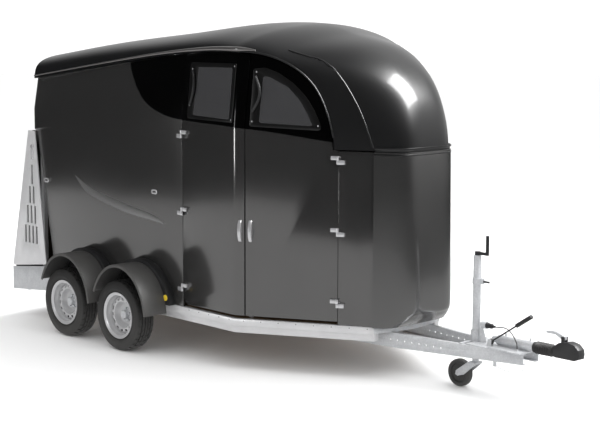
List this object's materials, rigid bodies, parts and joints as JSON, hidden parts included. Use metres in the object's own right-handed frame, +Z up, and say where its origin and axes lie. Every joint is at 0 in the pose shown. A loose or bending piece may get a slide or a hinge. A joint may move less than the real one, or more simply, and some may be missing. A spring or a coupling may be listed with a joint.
{
  "type": "horse trailer",
  "caption": "Closed horse trailer with moulded shell, side doors with tinted windows, rear ramp, tandem wheels, and drawbar with jockey wheel and overrun coupling.",
  "frame": {"origin": "on the ground, under the middle of the overall length and width", "axes": "+X forward to the coupling, +Y to the left, +Z up"},
  "size_m": [5.831, 2.472, 2.74],
  "materials": {
    "galvanised": "hot-dip galvanised",
    "shell_dark": "gloss lacquer over moulded sandwich panel",
    "hood_black": "gloss black moulding",
    "window": "dark tinted acrylic",
    "plywood": "sealed plywood",
    "aluminium": "satin anodised",
    "stainless": "polished",
    "guard_plastic": "textured moulding",
    "black_plastic": "matt black moulding",
    "rubber": "matt rubber",
    "tyre": "tyre rubber",
    "wheel_silver": "silver painted steel",
    "lamp": "red lens"
  },
  "bodies": {
    "trailer": {"sills": "aluminium", "cross_members": "galvanised", "floor_board": "plywood", "left_wall": "shell_dark", "right_wall_rear": "shell_dark", "right_wall_front": "shell_dark", "hood_shell": "hood_black", "nose_panel": "shell_dark", "door_posts": "aluminium", "rear_frame": "aluminium", "rear_box": "galvanised", "axle_beams": "galvanised", "mudguards_left": "guard_plastic", "mudguards_right": "guard_plastic", "inner_guards": "black_plastic", "hinge_brackets": "stainless", "drawbar_rails": "galvanised", "coupling_housing": "galvanised", "drawbar_brackets": "galvanised", "jockey_tube": "galvanised", "lamps": "lamp", "tie_rings": "stainless", "partition": "aluminium", "plug": "black_plastic", "plug_cable": "rubber", "breakaway_cable": "galvanised", "brake_rod": "galvanised", "bellows": "rubber"},
    "rear_door": {"rear_side_door": "shell_dark", "rear_door_leaves": "stainless", "window_grille": "black_plastic"},
    "rear_handle": {"rear_door_handle": "stainless"},
    "rear_sash": {"rear_window": "window"},
    "front_door": {"front_side_door": "shell_dark", "front_door_leaves": "stainless"},
    "front_handle": {"front_door_handle": "stainless"},
    "front_sash": {"front_window": "window"},
    "upper_left": {"upper_door_left": "shell_dark"},
    "upper_right": {"upper_door_right": "shell_dark"},
    "ramp": {"ramp_panel": "plywood", "ramp_sides": "aluminium"},
    "latch_left": {"ramp_latch_left": "stainless"},
    "latch_right": {"ramp_latch_right": "stainless"},
    "overrun": {"overrun_shaft": "galvanised", "coupling_head": "black_plastic"},
    "head_lever": {"coupling_lever": "galvanised"},
    "handbrake": {"handbrake_lever": "galvanised"},
    "jockey_slide": {"jockey_leg": "galvanised"},
    "jockey_caster": {"jockey_fork": "galvanised"},
    "jockey_roller": {"jockey_wheel": "rubber"},
    "crank": {"jockey_crank": "black_plastic"},
    "clamp": {"clamp_lever": "black_plastic"},
    "wheel_rear_left": {"tyre_rear_left": "tyre", "rim_rear_left": "wheel_silver"},
    "wheel_rear_right": {"tyre_rear_right": "tyre", "rim_rear_right": "wheel_silver"},
    "wheel_front_left": {"tyre_front_left": "tyre", "rim_front_left": "wheel_silver"},
    "wheel_front_right": {"tyre_front_right": "tyre", "rim_front_right": "wheel_silver"}
  },
  "joints": [
    {"name": "wheel_rear_left_spin", "type": "hinge", "parent": "trailer", "child": "wheel_rear_left", "pos_m": [-1.7015, 1.1, 0.298], "axis": [0, 1, 0], "continuous": true},
    {"name": "wheel_rear_right_spin", "type": "hinge", "parent": "trailer", "child": "wheel_rear_right", "pos_m": [-1.7015, -1.1, 0.298], "axis": [0, 1, 0], "continuous": true},
    {"name": "wheel_front_left_spin", "type": "hinge", "parent": "trailer", "child": "wheel_front_left", "pos_m": [-0.9175, 1.1, 0.298], "axis": [0, 1, 0], "continuous": true},
    {"name": "wheel_front_right_spin", "type": "hinge", "parent": "trailer", "child": "wheel_front_right", "pos_m": [-0.9175, -1.1, 0.298], "axis": [0, 1, 0], "continuous": true},
    {"name": "rear_side_door_hinge", "type": "hinge", "parent": "trailer", "child": "rear_door", "pos_m": [-0.3655, -0.954, 1.216], "axis": [0, 0, -1], "range_deg": [0, 105]},
    {"name": "front_side_door_hinge", "type": "hinge", "parent": "trailer", "child": "front_door", "pos_m": [1.00944, -0.53669, 1.15], "axis": [0, 0, 1], "range_deg": [0, 110]},
    {"name": "rear_handle_pivot", "type": "hinge", "parent": "rear_door", "child": "rear_handle", "pos_m": [0.32704, -0.91261, 1.125], "axis": [0, 0, 1], "range_deg": [0, 35], "stiffness_Nm_per_rad": 2, "springref_deg": -11.46},
    {"name": "front_handle_pivot", "type": "hinge", "parent": "front_door", "child": "front_handle", "pos_m": [0.37945, -0.88272, 1.125], "axis": [0, 0, -1], "range_deg": [0, 35], "stiffness_Nm_per_rad": 2, "springref_deg": -11.46},
    {"name": "rear_window_hinge", "type": "hinge", "parent": "rear_door", "child": "rear_sash", "pos_m": [0.2535, -0.91699, 2.2], "axis": [0, 0.1035, 0.9946], "range_deg": [0, 25]},
    {"name": "front_window_hinge", "type": "hinge", "parent": "front_door", "child": "front_sash", "pos_m": [0.892, -0.5754, 2.1], "axis": [-0.0513, 0.0899, 0.9946], "range_deg": [0, 25]},
    {"name": "upper_left_hinge", "type": "hinge", "parent": "trailer", "child": "upper_left", "pos_m": [-2.5235, 0.872, 1.977], "axis": [0, 0, -1], "range_deg": [0, 110]},
    {"name": "upper_right_hinge", "type": "hinge", "parent": "trailer", "child": "upper_right", "pos_m": [-2.5235, -0.872, 1.977], "axis": [0, 0, 1], "range_deg": [0, 110]},
    {"name": "ramp_hinge", "type": "hinge", "parent": "trailer", "child": "ramp", "pos_m": [-2.8755, 0, 0.385], "axis": [0, -1, 0], "range_deg": [0, 118]},
    {"name": "latch_left_turn", "type": "hinge", "parent": "ramp", "child": "latch_left", "pos_m": [-2.51843, 0.97, 1.6], "axis": [0, 1, 0], "range_deg": [0, 90]},
    {"name": "latch_right_turn", "type": "hinge", "parent": "ramp", "child": "latch_right", "pos_m": [-2.51843, -0.97, 1.6], "axis": [0, 1, 0], "range_deg": [0, 90]},
    {"name": "overrun_travel", "type": "slide", "parent": "trailer", "child": "overrun", "axis": [-1, 0, 0], "range_m": [0, 0.06], "stiffness_N_per_m": 6000, "springref_m": -0.05, "deforming": ["bellows"]},
    {"name": "head_lever_lift", "type": "hinge", "parent": "overrun", "child": "head_lever", "pos_m": [2.7645, 0, 0.528], "axis": [0, 1, 0], "range_deg": [0, 50]},
    {"name": "handbrake_pull", "type": "hinge", "parent": "trailer", "child": "handbrake", "pos_m": [2.1545, -0.066, 0.412], "axis": [0, -1, 0], "range_deg": [0, 50]},
    {"name": "jockey_lift", "type": "slide", "parent": "trailer", "child": "jockey_slide", "axis": [0, 0, 1], "range_m": [0, 0.08]},
    {"name": "jockey_swivel", "type": "hinge", "parent": "jockey_slide", "child": "jockey_caster", "pos_m": [1.9565, 0, 0.23], "axis": [0, 0, 1], "continuous": true},
    {"name": "jockey_spin", "type": "hinge", "parent": "jockey_caster", "child": "jockey_roller", "pos_m": [1.8095, 0, 0.106], "axis": [0, 1, 0], "continuous": true},
    {"name": "crank_turn", "type": "hinge", "parent": "trailer", "child": "crank", "pos_m": [1.9565, 0, 1.04], "axis": [0, 0, 1], "range_deg": [0, 4800]},
    {"name": "clamp_turn", "type": "hinge", "parent": "trailer", "child": "clamp", "pos_m": [2.0065, 0, 0.835], "axis": [0, -1, 0], "range_deg": [0, 90]}
  ],
  "couplings": [
    {"joint": "crank_turn", "follows": "jockey_lift", "rad_per_m": 1047.2}
  ]
}
